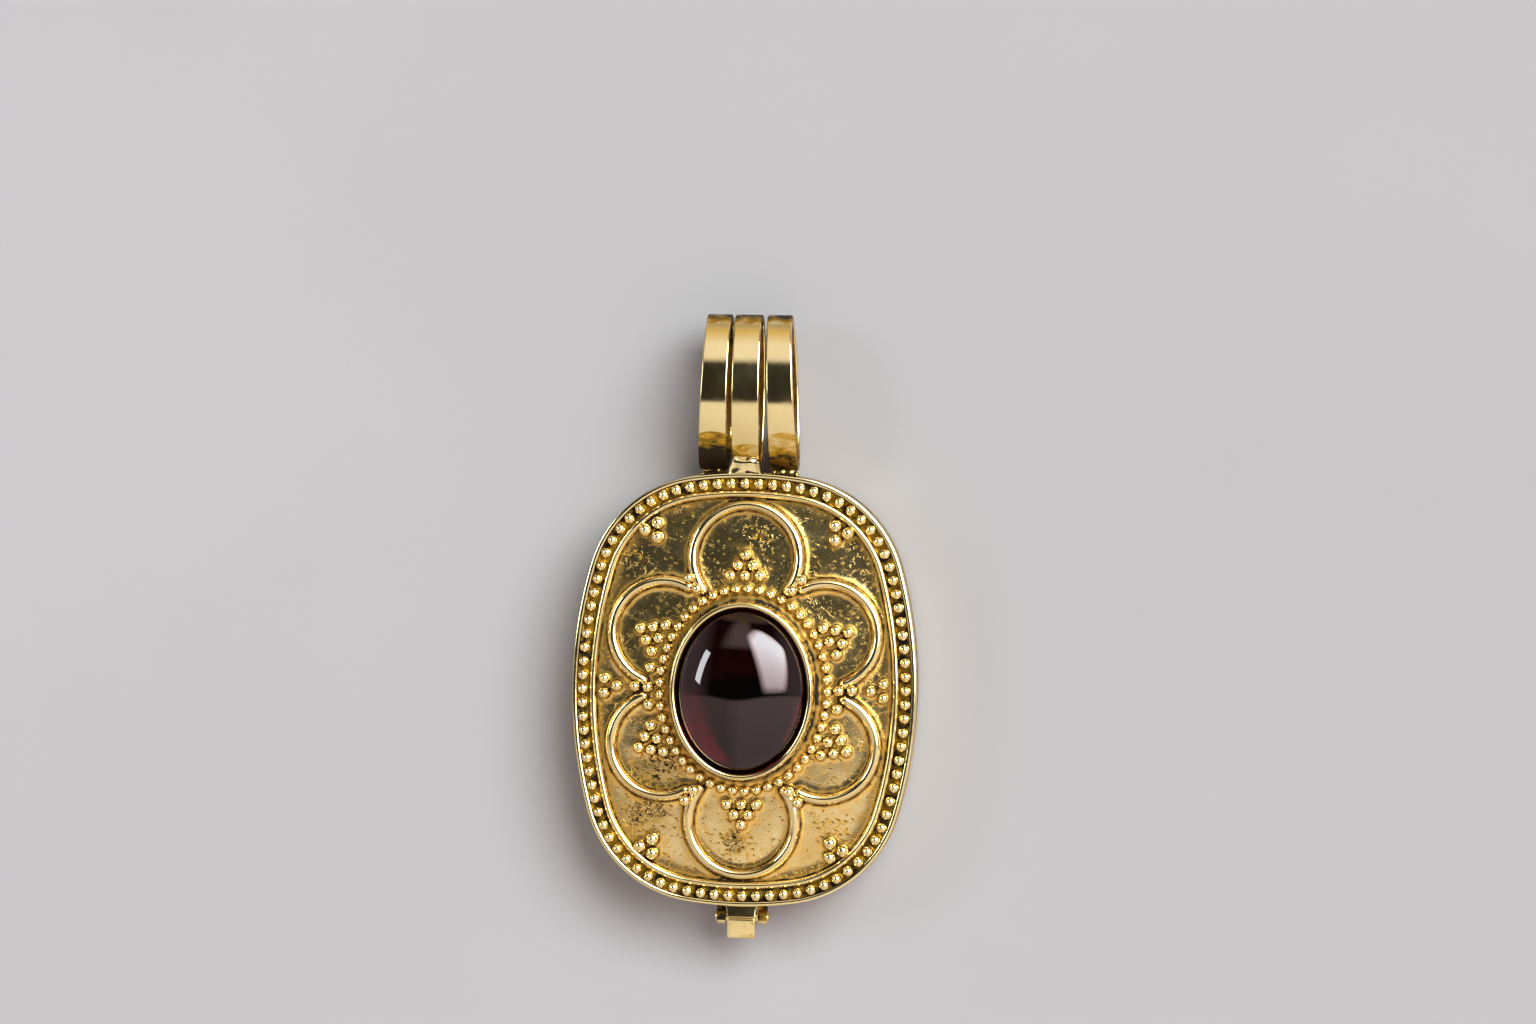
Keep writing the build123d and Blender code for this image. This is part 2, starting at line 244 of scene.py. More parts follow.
def select_all(kind="VERT", action="SELECT"):
    """In edit mode, turns to vertices or edges and selects all or none of them."""
    bpy.ops.mesh.select_mode(type=kind)
    bpy.ops.mesh.select_all(action=action)


def named(name):
    """Names the primitive that was just added and takes up its place and turn in its mesh."""
    piece = bpy.context.object
    piece.name = piece.data.name = name
    take_up()
    return piece


def take_up():
    """Takes up place, turn and size of what is selected in its mesh."""
    bpy.ops.object.transform_apply(location=True, rotation=True, scale=True)


def stretch(shares, centre=(0, 0, 0)):
    """Sizes what is selected by shares, seen from a centre."""
    bpy.ops.transform.resize(value=shares, center_override=centre)


def draw_out(way):
    """In edit mode, draws the selected edges out along a way."""
    bpy.ops.mesh.extrude_edges_move(TRANSFORM_OT_translate={"value": tuple(way)})


def select_where(piece, wanted):
    """In edit mode, selects the vertices whose place passes the test."""
    mesh = bmesh.from_edit_mesh(piece.data)
    for vertex in mesh.verts:
        vertex.select_set(bool(wanted(vertex.co)))
    mesh.select_flush(True)
    bmesh.update_edit_mesh(piece.data)


def close_up():
    """In edit mode, welds doubles, fills what is open and turns all faces outwards."""
    select_all()
    bpy.ops.mesh.remove_doubles(threshold=weld_reach)
    select_all()
    bpy.ops.mesh.fill_holes(sides=0)
    select_all()
    bpy.ops.mesh.normals_make_consistent(inside=False)


def smooth(piece):
    """Leaves edit mode with soft shading and crisp corners."""
    pick(piece)
    bpy.ops.object.shade_smooth_by_angle(angle=smooth_angle)


def flatten(piece):
    """Lets flat faces shade flat right up to their rounded edges, weighed at a size of metres."""
    pick(piece)
    stretch((1 / mm,) * 3)
    take_up()
    flat = piece.modifiers.new("flat_faces", "WEIGHTED_NORMAL")
    flat.keep_sharp = True
    bpy.ops.object.modifier_apply(modifier="flat_faces")
    stretch((mm,) * 3)
    take_up()


def round_edges(reach, segments=3):
    """In edit mode, rounds every sharp edge."""
    select_all("EDGE", "DESELECT")
    bpy.ops.mesh.edges_select_sharp(sharpness=sharp_edge)
    bpy.ops.mesh.bevel(offset=reach, segments=segments, affect="EDGES")
    bpy.ops.mesh.select_mode(type="VERT")


def line_of_points(name, points, closed=True):
    """A circle of edges whose vertices are put on the points of a section."""
    deselect()
    bpy.ops.mesh.primitive_circle_add(vertices=len(points), radius=mm, fill_type="NOTHING")
    piece = named(name)
    for vertex, point in zip(piece.data.vertices, points):
        vertex.co = point
    edit(piece)
    if not closed:
        ends = {0, len(points) - 1}
        select_all("EDGE", "DESELECT")
        mesh = bmesh.from_edit_mesh(piece.data)
        for edge in mesh.edges:
            edge.select_set({vertex.index for vertex in edge.verts} == ends)
        bmesh.update_edit_mesh(piece.data)
        bpy.ops.mesh.delete(type="EDGE")
        select_all()
    return piece


def wire_section(place, height, radius, turn=0.0, sides=16):
    """Points of a round wire's section, upright to its way, at a distance from the centre."""
    out = Vector((cos(turn), sin(turn), 0))
    bearings = [2 * pi * i / sides for i in range(sides)]
    return [
        out * (place + radius * cos(bearing)) + Vector((0, 0, height + radius * sin(bearing)))
        for bearing in bearings
    ]


# The cushion oval

def oval_facts():
    """Centres of the side, end and corner arcs, and the turns where they meet."""
    side_centre = half_width - side_arc_radius
    end_centre = half_height - end_arc_radius
    span = hypot(side_centre, end_centre)
    side_reach = side_arc_radius - corner_arc_radius
    end_reach = end_arc_radius - corner_arc_radius
    along = (side_reach**2 - end_reach**2 + span**2) / (2 * span)
    across = sqrt(side_reach**2 - along**2)
    corner_x = side_centre - (side_centre * along + end_centre * across) / span
    corner_y = (end_centre * along - side_centre * across) / span
    side_turn = atan2(corner_y, corner_x - side_centre)
    end_turn = atan2(corner_y - end_centre, corner_x)
    return side_centre, end_centre, corner_x, corner_y, side_turn, end_turn


side_centre, end_centre, corner_x, corner_y, side_turn, end_turn = oval_facts()
corner_sweep = end_turn - side_turn
end_sweep = pi - 2 * end_turn
# Arcs once round the oval, as (centre, sweep, steps)
oval_spins = [
    ((side_centre, 0), side_turn, 9),
    ((corner_x, corner_y), corner_sweep, 26),
    ((0, end_centre), end_sweep, 11),
    ((-corner_x, corner_y), corner_sweep, 26),
    ((-side_centre, 0), 2 * side_turn, 18),
    ((-corner_x, -corner_y), corner_sweep, 26),
    ((0, -end_centre), end_sweep, 11),
    ((corner_x, -corner_y), corner_sweep, 26),
    ((side_centre, 0), side_turn, 9),
]


def spun_round_oval(name, points, closed=True):
    """Piece made by taking a section once round the oval."""
    piece = line_of_points(name, points, closed)
    for (x, y), sweep, steps in oval_spins:
        bpy.ops.mesh.spin(steps=steps, angle=-sweep, center=(x, y, 0), axis=(0, 0, 1))
    close_up()
    smooth(piece)
    return piece


def oval_inset(x, y):
    """How far inside the outline places lie."""
    x, y = np.abs(x), np.abs(y)
    side = side_arc_radius - np.hypot(x - side_centre, y)
    end = end_arc_radius - np.hypot(x, y - end_centre)
    corner = corner_arc_radius - np.hypot(x - corner_x, y - corner_y)
    bearing = np.arctan2(y - corner_y, x - corner_x)
    in_corner = (bearing > side_turn) & (bearing < end_turn)
    return np.where(in_corner, corner, np.minimum(side, end))


def dome_height(x, y):
    """Height of the smooth dome under the plate's marks."""
    return dome_top - dome_radius + np.sqrt(dome_radius**2 - x**2 - y**2)


def outside_ring(turn, outside):
    """Place at a turn round the centre, a distance outside the ring of granules."""
    c, s = cos(turn), sin(turn)
    reach = ring_half_width * ring_half_height / hypot(ring_half_height * c, ring_half_width * s)
    return (reach + outside) * c, (reach + outside) * s


def petal_distance(x, y):
    """Distance in plan to the middle line of the nearest petal wire."""
    nearest = np.full(x.shape, 1.0)
    for turn, outside, radius, start, end in petal_table:
        petal_x, petal_y = outside_ring(radians(turn), outside)
        off_x, off_y = x - petal_x, y - petal_y
        bearing = (np.degrees(np.arctan2(off_y, off_x)) - start) % 360
        on_arc = np.abs(np.hypot(off_x, off_y) - radius)
        tips = [
            np.hypot(off_x - radius * cos(radians(tip)), off_y - radius * sin(radians(tip)))
            for tip in (start, end)
        ]
        nearest = np.minimum(nearest, np.where(bearing <= end - start, on_arc, np.minimum(*tips)))
    return nearest


# Marks of the hand

def vertex_places(piece, what="co"):
    """All vertex places of a piece as an array, or all vertex normals."""
    flat = np.zeros(len(piece.data.vertices) * 3)
    piece.data.vertices.foreach_get(what, flat)
    return flat.reshape(-1, 3)


def put_vertices(piece, places):
    """Moves all vertices of a piece."""
    piece.data.vertices.foreach_set("co", places.ravel())
    piece.data.update()


def hand_worked(piece, work, seed):
    """Presses soft unevenness into a piece, never outwards."""
    depth, grain = handwork[work]
    places, normals = vertex_places(piece), vertex_places(piece, "normal")
    shift = Vector((seed * 17.3, seed * 5.9, seed * 11.1))
    depths = np.array([0.5 + 0.5 * noise.noise(Vector(place) / grain + shift) for place in places])
    put_vertices(piece, places - normals * (depths * depth)[:, None])


def mark_tarnish_and_shade(piece, values):
    """Keeps for each vertex a value from 0 to 1 that the patina and painted shade follow: how deep in the
    hollows it lies, or how dark a place is painted.
    """
    attributes = piece.data.attributes
    kept = attributes.get("hollow_and_shade") or attributes.new("hollow_and_shade", "FLOAT", "POINT")
    values = np.broadcast_to(np.clip(values, 0, 1), len(piece.data.vertices))
    kept.data.foreach_set("value", values.astype(np.float32))


def height_tarnish_and_shade(piece, reach):
    """Marks what lies low over the plate or over the channel as darker: patina and painted shade at the
    feet.
    """
    x, y, z = vertex_places(piece).T
    floor = np.where(oval_inset(x, y) < border_wire_inset, channel_floor, dome_height(x, y))
    mark_tarnish_and_shade(piece, 1 - (z - floor) / reach)


def fading(distance, reach):
    """Share that is left at a distance, 1 at none."""
    return np.exp(-((distance / reach) ** 2))


# Pieces

def oval_section(section):
    """Places of a section's points at the right-hand side of the oval."""
    return [(half_width - inset * mm, 0, height * mm) for inset, height in section]


def make_case_tray():
    """Shallow tray: a section spun round the oval, and two flat floors."""
    piece = spun_round_oval("case_tray", oval_section(tray_section), closed=False)
    flatten(piece)
    return piece


def make_cover_border():
    """Rim, channel and the ledge under the plate, a closed section spun round the oval."""
    piece = spun_round_oval("cover_border", oval_section(border_section))
    x, y, z = vertex_places(piece).T
    low, high = channel_floor_span
    # Painted shade and patina: the channel floor between the beads is painted nearly black.
    in_channel = (z > low) & (z < high) & (oval_inset(x, y) > rim_inset)
    mark_tarnish_and_shade(piece, np.where(in_channel, channel_tarnish_and_shade, 0.0))
    flatten(piece)
    return piece


def make_border_wire():
    """Round wire inside the channel."""
    section = wire_section(half_width - border_wire_inset, border_wire_height, border_wire_radius)
    piece = spun_round_oval("border_wire", section)
    hand_worked(piece, "border wire", 1)
    height_tarnish_and_shade(piece, border_wire_radius)
    return piece


def round_off_end(centre, way, radius):
    """In edit mode, grows a round end on the selected ring of a wire."""
    reached, size = 0.0, 1.0
    for step in (30, 60, 80):
        ahead = radius * sin(radians(step))
        narrower = cos(radians(step))
        draw_out(way * (ahead - reached))
        stretch((narrower / size,) * 3, tuple(centre + way * ahead))
        reached, size = ahead, narrower
    bpy.ops.mesh.merge(type="CENTER")


def make_petal_wire(number, turn, outside, radius, start, end):
    """Horseshoe of round wire laid on the dome."""
    points = wire_section(radius, 0, petal_wire_radius, radians(start), 18)
    piece = line_of_points(f"petal_wire_{number}", points)
    sweep = radians(end - start)
    steps = round(degrees(sweep) / degrees_a_step)
    bpy.ops.mesh.spin(steps=steps, angle=-sweep, center=(0, 0, 0), axis=(0, 0, 1))
    for tip, sense in ((radians(end), 1), (radians(start), -1)):
        centre = Vector((radius * cos(tip), radius * sin(tip), 0))
        way = Vector((-sin(tip), cos(tip), 0)) * sense
        select_where(
            piece,
            lambda place: abs((place - centre).dot(way)) < weld_reach
            and (place - centre).length < 1.02 * petal_wire_radius,
        )
        round_off_end(centre, way, petal_wire_radius)
    close_up()
    smooth(piece)
    x, y = outside_ring(radians(turn), outside)
    upright = Vector((x, y, dome_height(x, y) - dome_top + dome_radius)).normalized()
    across = Vector((upright.z, 0, -upright.x)).normalized()
    leaning = Matrix((across, upright.cross(across), upright)).transposed().to_4x4()
    piece.matrix_world = Matrix.Translation((x, y, dome_height(x, y))) @ leaning
    take_up()
    hand_worked(piece, "petal wire", 2 + number)
    height_tarnish_and_shade(piece, petal_wire_radius)
    return piece


def make_collar():
    """Collar with its lip and seat, rings of an ellipse drawn up one after another."""
    deselect()
    bpy.ops.mesh.primitive_circle_add(
        vertices=120, radius=stone_half_width + collar_outside, fill_type="NOTHING"
    )
    piece = named("collar")
    edit(piece)
    half_w, half_h = stone_half_width + collar_outside, stone_half_height + collar_outside
    stretch((1, half_h / half_w, 1))
    height = collar_rings[0][1]
    bpy.ops.transform.translate(value=(0, 0, height * mm))
    for outside, next_height in collar_rings[1:]:
        next_w, next_h = stone_half_width + outside * mm, stone_half_height + outside * mm
        draw_out((0, 0, (next_height - height) * mm))
        stretch((next_w / half_w, next_h / half_h, 1), (0, 0, next_height * mm))
        half_w, half_h, height = next_w, next_h, next_height
    close_up()
    smooth(piece)
    hand_worked(piece, "collar", 11)
    x, y, z = vertex_places(piece).T
    # The collar darkens towards its foot on the plate, as patina and painted shade; inside, under the
    # stone, it is evenly darkened.
    foot = 1 - (z - dome_height(x, y)) / collar_foot_reach
    level = np.hypot(x / stone_half_width, y / stone_half_height)
    inside = (level < collar_inside) & (z < collar_lip)
    mark_tarnish_and_shade(piece, np.where(inside, collar_inside_darkening, foot))
    return piece


def make_garnet():
    """Cabochon: the upper half of an ellipsoid on a straight girdle."""
    deselect()
    bpy.ops.mesh.primitive_uv_sphere_add(segments=128, ring_count=64, radius=stone_half_width)
    piece = named("garnet")
    edit(piece)
    girdle_top = stone_bottom + stone_girdle
    stretch((1, stone_half_height / stone_half_width, stone_dome / stone_half_width))
    bpy.ops.transform.translate(value=(0, 0, girdle_top))
    select_where(piece, lambda place: place.z < girdle_top - weld_reach)
    bpy.ops.mesh.delete(type="VERT")
    select_where(piece, lambda place: place.z < girdle_top + weld_reach)
    draw_out((0, 0, -stone_girdle))
    close_up()
    smooth(piece)
    return piece


def trimmed_loop(name, foot, crown, gap_sides):
    """Loop of flat strip: an oval ring drawn out sideways, rounded, then narrowed to the crown."""
    deselect()
    centre = (0, loop_centre, loop_centre_height)
    bpy.ops.mesh.primitive_circle_add(
        vertices=140, radius=loop_length / 2, fill_type="NOTHING", location=centre,
        rotation=(0, pi / 2, 0),
    )
    piece = named(name)
    edit(piece)
    width = abs(foot[1] - foot[0])
    stretch((1, 1, loop_depth / loop_length), centre)
    bpy.ops.mesh.extrude_edges_move()
    stretch((1, 1 - 2 * strip_thickness / loop_length, 1 - 2 * strip_thickness / loop_depth), centre)
    select_all()
    bpy.ops.mesh.extrude_region_move(TRANSFORM_OT_translate={"value": (width, 0, 0)})
    close_up()
    round_edges(strip_round)
    smooth(piece)
    places = vertex_places(piece)
    up = (places[:, 1] - loop_foot) / loop_length
    low, high = [start + (end - start) * up for start, end in zip(sorted(foot), sorted(crown))]
    places[:, 0] = low + (high - low) * (places[:, 0] / width)
    put_vertices(piece, places)
    hand_worked(piece, "loop", len(name))
    # Painted shade: the strips' side faces that look into the gaps between the loops are painted dark.
    aside = vertex_places(piece, "normal")[:, 0]
    gap_shade = np.clip((np.max([aside * side for side in gap_sides], axis=0) - 0.45) / 0.4, 0, 1)
    mark_tarnish_and_shade(piece, np.maximum(gap_shade, np.interp(places[:, 1], *zip(*crown_darkening))))
    flatten(piece)
    return piece


def make_middle_loop():
    """Middle loop, which the cover carries."""
    edges = [middle_strip_shift + side * middle_strip_width / 2 for side in (-1, 1)]
    return trimmed_loop("middle_loop", edges, edges, (-1, 1))


def make_side_loop(name, foot_gap, crown_gap, side):
    """Side loop, which the case carries."""
    edge = middle_strip_shift + side * middle_strip_width / 2
    foot, crown = edge + side * foot_gap, edge + side * crown_gap
    foot_edges = foot, foot + side * side_strip_foot_width
    crown_edges = crown, crown + side * side_strip_crown_width
    return trimmed_loop(f"{name}_loop", foot_edges, crown_edges, (-side,))


def block(name, x, width, near_y, far_y, bottom, top):
    """Block between two places along and two heights, in edit mode; returned with its middle."""
    deselect()
    middle = (x, (near_y + far_y) / 2, (bottom + top) / 2)
    bpy.ops.mesh.primitive_cube_add(size=mm, location=middle)
    piece = named(name)
    edit(piece)
    stretch((width / mm, (far_y - near_y) / mm, (top - bottom) / mm), middle)
    return piece, middle


def solder_lump(name, x, width, far_y, bottom, top, flare, fall):
    """Lump of solder that joins a loop's foot to the metal behind it, wider where it has run."""
    piece, middle = block(name, x, width, solder_near, far_y, bottom, top)
    select_where(piece, lambda place: place.y < middle[1])
    stretch((flare, 1, 1), middle)
    select_all()
    bpy.ops.mesh.subdivide(number_cuts=8, smoothness=0)
    round_edges(solder_round, 2)
    smooth(piece)
    places = vertex_places(piece)
    share = np.clip((places[:, 1] - solder_near) / (far_y - solder_near), 0, 1)
    straight = 1 + (flare - 1) * (1 - share)
    curved = 1 + (flare - 1) * (1 - share) ** 1.2
    places[:, 0] = x + (places[:, 0] - x) * curved / straight
    high = np.clip((places[:, 2] - bottom) / (top - bottom), 0, 1)
    places[:, 2] -= high * np.interp(share, *zip(*solder_fall, (1, fall)))
    put_vertices(piece, places)
    hand_worked(piece, "solder", 23)
    mark_tarnish_and_shade(piece, solder_tarnish)
    return piece


def cylinder(name, sides, x, radius, width):
    """Cylinder on the line of the hinge, in edit mode."""
    deselect()
    bpy.ops.mesh.primitive_cylinder_add(
        vertices=sides, radius=radius, depth=width, location=(x, hinge_y, hinge_z),
        rotation=(0, pi / 2, 0),
    )
    piece = named(name)
    edit(piece)
    return piece


def barrel(name, x, radius, width):
    """One barrel of the hinge."""
    piece = cylinder(name, 48, x, radius, width)
    round_edges(barrel_round)
    smooth(piece)
    hand_worked(piece, "barrel", 31)
    mark_tarnish_and_shade(piece, 0.0)
    return piece


def foot_block(name, x, width, near_y, far_y, bottom, top, rounding=block_round):
    """Block between a barrel and the wall that it is soldered to, or the tab in front of it."""
    piece, _ = block(name, x, width, near_y, far_y, bottom, top)
    bpy.ops.mesh.subdivide(number_cuts=4, smoothness=0)
    round_edges(rounding)
    smooth(piece)
    hand_worked(piece, "block", 41)
    mark_tarnish_and_shade(piece, 0.0)
    flatten(piece)
    return piece


def make_knuckle_foot(top):
    """Foot of the knuckle: its upper face falls towards the rim and widens where it meets it."""
    piece = foot_block(
        "knuckle_foot", 0, knuckle_width, hinge_y, knuckle_foot_end, cover_bottom, top
    )
    places = vertex_places(piece)
    share = np.clip((places[:, 1] - hinge_y) / (-half_height - hinge_y), 0, 1)
    high = np.clip((places[:, 2] - cover_bottom) / (top - cover_bottom), 0, 1)
    places[:, 2] -= high * share * foot_fall
    places[:, 0] *= 1 + foot_widening * np.clip(2 * high - 1, 0, 1) * share**4
    put_vertices(piece, places)
    # Painted shade: the top face of the foot, between the knuckle and the rim, is painted darker.
    upper = (high > 0.93) & (places[:, 1] > hinge_y + 0.04 * mm)
    mark_tarnish_and_shade(piece, np.where(upper, 0.42, 0.0))
    flatten(piece)
    return piece


def make_opening_tab(top):
    """Tab below the knuckle: its upper face falls a little to its tip."""
    bottom = top - tab_thickness
    piece = foot_block(
        "opening_tab", 0, knuckle_width, hinge_y - tab_reach, hinge_y, bottom, top, tab_round
    )
    places = vertex_places(piece)
    high = np.clip((places[:, 2] - bottom) / tab_thickness, 0, 1)
    share = np.clip((hinge_y - places[:, 1]) / tab_reach, 0, 1)
    places[:, 2] -= high * tab_fall * share
    put_vertices(piece, places)
    mark_tarnish_and_shade(piece, 0.44 + 0.1 * share**2)
    flatten(piece)
    return piece


def make_hinge_pin():
    """Pin with rounded ends."""
    piece = cylinder("pin", 40, 0, pin_radius, pin_length)
    round_edges(pin_radius / 2, 4)
    smooth(piece)
    return piece


def granule_spots(node):
    """Centre and diameter of each loose ball of a node of the frame."""
    deselect()
    copy = frame["nodes"][node].copy()
    copy.data = copy.data.copy()
    copy.parent = None
    bpy.context.scene.collection.objects.link(copy)
    others = set(bpy.context.scene.objects) - {copy}
    edit(copy)
    bpy.ops.mesh.remove_doubles(threshold=weld_reach / 2)
    bpy.ops.mesh.separate(type="LOOSE")
    bpy.ops.object.mode_set(mode="OBJECT")
    spots = []
    for ball in set(bpy.context.scene.objects) - others:
        places = vertex_places(ball)
        low, high = places.min(axis=0), places.max(axis=0)
        spots.append((*((low + high) / 2), (high - low).max()))
        bpy.data.objects.remove(ball)
    return sorted(spots)


def make_granules(name, spots, fullness):
    """One ball shaped once, then copied to every spot, no two quite alike."""
    deselect()
    bpy.ops.mesh.primitive_ico_sphere_add(subdivisions=3, radius=mm / 2)
    ball = named(name)
    # Painted shade and patina: each ball is painted darker on its underside, towards the plate.
    mark_tarnish_and_shade(ball, 0.2 - vertex_places(ball)[:, 2] / mm * 1.7)
    copies = []
    for x, y, z, diameter in spots:
        copy = ball.copy()
        copy.data = ball.data.copy()
        bpy.context.scene.collection.objects.link(copy)
        copy.location = (x, y, z)
        copy.rotation_euler = (0, 0, hand.uniform(0, 2 * pi))
        size = fullness * diameter / mm
        copy.scale = [size * (1 - hand.uniform(0, ball_unevenness)) for _ in range(3)]
        copies.append(copy)
    bpy.data.objects.remove(ball)
    pick(copies[0])
    for copy in copies:
        copy.select_set(True)
    bpy.ops.object.join()
    piece = named(name)
    bpy.ops.object.shade_smooth()
    return piece


def trimmed_grid():
    """Flat grid cut to the oval inside the border wire."""
    deselect()
    span_x, span_y = 2 * (half_width - plate_inset), 2 * (half_height - plate_inset)
    bpy.ops.mesh.primitive_grid_add(
        x_subdivisions=round(span_x / plate_step), y_subdivisions=round(span_y / plate_step), size=mm
    )
    piece = named("field_plate")
    edit(piece)
    stretch((span_x / mm, span_y / mm, 1))
    deselect()
    x, y, _ = vertex_places(piece).T
    for parts in (piece.data.polygons, piece.data.edges):
        parts.foreach_set("select", np.zeros(len(parts), bool))
    outside = oval_inset(x, y) < border_wire_inset - plate_edge
    piece.data.vertices.foreach_set("select", outside)
    pick(piece)
    bpy.ops.object.mode_set(mode="EDIT")
    bpy.ops.mesh.delete(type="VERT")
    deselect()
    return piece


def make_field_plate(spots):
    """Domed plate with its hammered grain and the solder that has run up to what stands on it."""
    piece = trimmed_grid()
    places = vertex_places(piece)
    x, y = places[:, 0], places[:, 1]
    half_w, half_h = stone_half_width + collar_outside, stone_half_height + collar_outside
    level = np.hypot(x / half_w, y / half_h)
    ball = np.full(x.shape, 1.0)
    for spot_x, spot_y, _, diameter in spots:
        ball = np.minimum(ball, np.hypot(x - spot_x, y - spot_y) - diameter / 2)
    away = {
        "wire": np.maximum(petal_distance(x, y) - petal_wire_radius, 0),
        "border": np.maximum(oval_inset(x, y) - border_wire_inset - border_wire_radius, 0),
        "collar": np.maximum((level - 1) * np.hypot(x, y) / np.maximum(level, 0.01), 0),
        "ball": np.maximum(ball, 0),
    }
    runs = [rise * fading(away[foot], reach) for foot, (rise, reach) in solder_runs.items()]
    solder = np.max(runs, axis=0)
    grain = np.array([
        fine_share * noise.noise(Vector((u, v, mm)) / fine_grain)
        + noise.noise(Vector((u, v, 5 * mm)) / coarse_grain)
        for u, v in zip(x, y)
    ])
    places[:, 2] = dome_height(x, y) + solder + grain_depth * grain * (1 - solder / highest_run)
    put_vertices(piece, places)
    # Patina and painted shade: the plate darkens in a narrow band and a broad amber band round the feet of
    # wires, border and balls, and by the collar.
    crevices = [
        foot_tarnish_and_shade * fading(away[foot], foot_band_reach) + broad_shade * np.exp(-away[foot] / broad_shade_reach)
        for foot, broad_shade in foot_broad_shade.items()
    ]
    by_collar = collar_tarnish_and_shade * fading(away["collar"], collar_band_reach)
    face = np.max([*crevices, np.where(level < 1, darkening_under_stone, by_collar)], axis=0)
    pick(piece)
    wall = piece.modifiers.new("wall", "SOLIDIFY")
    wall.thickness = plate_thickness
    wall.offset = -1
    bpy.ops.object.modifier_apply(modifier="wall")
    places = vertex_places(piece)
    underside = places[len(face):]
    underside[:, 2] = dome_height(underside[:, 0], underside[:, 1]) - plate_thickness
    put_vertices(piece, places)
    mark_tarnish_and_shade(piece, np.concatenate([face, np.full(len(underside), plate_underside)]))
    smooth(piece)
    return piece


# Materials

# Thick tarnish, and the painted shade in gaps and crevices, is a dull crust, as (amount where it starts,
# metallic and specular level left in it)
crust_start, crust_metallic, crust_specular = 0.72, 0.15, 0.1


def new_material(name):
    """A material with its shader, ready to be fed, and the place on the piece."""
    material = bpy.data.materials.new(name)
    material.use_nodes = True
    tree = material.node_tree
    place = add(tree, "ShaderNodeTexCoord").outputs["Object"]
    return material, tree, tree.nodes["Principled BSDF"], place


def feed(tree, node, values):
    """Links sockets to a node's inputs, and sets its other values."""
    for key, value in values.items():
        if isinstance(value, bpy.types.NodeSocket):
            tree.links.new(value, node.inputs[key])
        else:
            node.inputs[key].default_value = value


def add(tree, kind, values=None, **settings):
    """Adds a node and sets what is given."""
    node = tree.nodes.new(kind)
    for key, value in settings.items():
        setattr(node, key, value)
    feed(tree, node, values or {})
    return node


def math_of(tree, operation, first, second=0.0, third=0.0, clamp=False):
    """One sum on values, returned as its output."""
    values = {0: first, 1: second, 2: third}
    return add(tree, "ShaderNodeMath", values, operation=operation, use_clamp=clamp).outputs[0]


def times(tree, first, second):
    """Product of two values."""
    return math_of(tree, "MULTIPLY", first, second)


def times_plus(tree, value, factor, more, clamp=False):
    """A value times a factor, plus more."""
    return math_of(tree, "MULTIPLY_ADD", value, factor, more, clamp)


def most(tree, first, second):
    """The greater of two values."""
    return math_of(tree, "MAXIMUM", first, second)


def folded(tree, operation, values):
    """Takes up a list of values one by one in the same sum."""
    total = values[0]
    for value in values[1:]:
        total = math_of(tree, operation, total, value)
    return total


def off_from(tree, value, middle):
    """How far a value is from its middle."""
    return math_of(tree, "ABSOLUTE", math_of(tree, "SUBTRACT", value, middle))


def range_of(tree, value, low, high, to_low=0.0, to_high=1.0):
    """Maps a value from one range to another, held at both ends."""
    values = {"Value": value, "From Min": low, "From Max": high, "To Min": to_low, "To Max": to_high}
    return add(tree, "ShaderNodeMapRange", values, clamp=True).outputs[0]


def scaled(tree, place, shares):
    """A place stretched along its three ways."""
    return add(tree, "ShaderNodeVectorMath", {0: place, 1: shares}, operation="MULTIPLY").outputs[0]


def turned(tree, place, angle):
    """A place turned round the upright."""
    values = {"Vector": place, "Angle": angle}
    return add(tree, "ShaderNodeVectorRotate", values, rotation_type="Z_AXIS").outputs[0]


def cloud_of(tree, place, scale, detail, **more):
    """Soft noise over a place."""
    values = {"Vector": place, "Scale": scale, "Detail": detail, **more}
    return add(tree, "ShaderNodeTexNoise", values).outputs["Fac"]


def blend_colours(tree, share, first, second):
    """Mix of two colours."""
    node = add(tree, "ShaderNodeMix", {"Factor": share}, data_type="RGBA")
    feed(tree, node, {6: first, 7: second})
    return node.outputs[2]


def effect(name, inputs, outputs):
    """Starts a node group; returns it with its input and output nodes."""
    tree = bpy.data.node_groups.new(name, "ShaderNodeTree")
    for label, kind, value in inputs:
        socket = tree.interface.new_socket(label, in_out="INPUT", socket_type=f"NodeSocket{kind}")
        if value is not None:
            socket.default_value = value
    for label, kind in outputs:
        tree.interface.new_socket(label, in_out="OUTPUT", socket_type=f"NodeSocket{kind}")
    return tree, tree.nodes.new("NodeGroupInput").outputs, tree.nodes.new("NodeGroupOutput")


def use(tree, group, values):
    """Places a node group in a material."""
    node = tree.nodes.new("ShaderNodeGroup")
    node.node_tree = group
    feed(tree, node, values)
    return node.outputs


def dented(tree, shader, height, depth):
    """Gives the shader the bump of a height."""
    bump = add(tree, "ShaderNodeBump", {"Height": height, "Strength": 1.0, "Distance": depth})
    feed(tree, shader, {"Normal": bump.outputs["Normal"]})


# Three ways of polishing scratches, as (turn, seed)
scratch_ways = [(0.4, 1.0), (1.5, 4.0), (2.5, 9.0)]
scratch_stretch = (16000, 700, 2500)


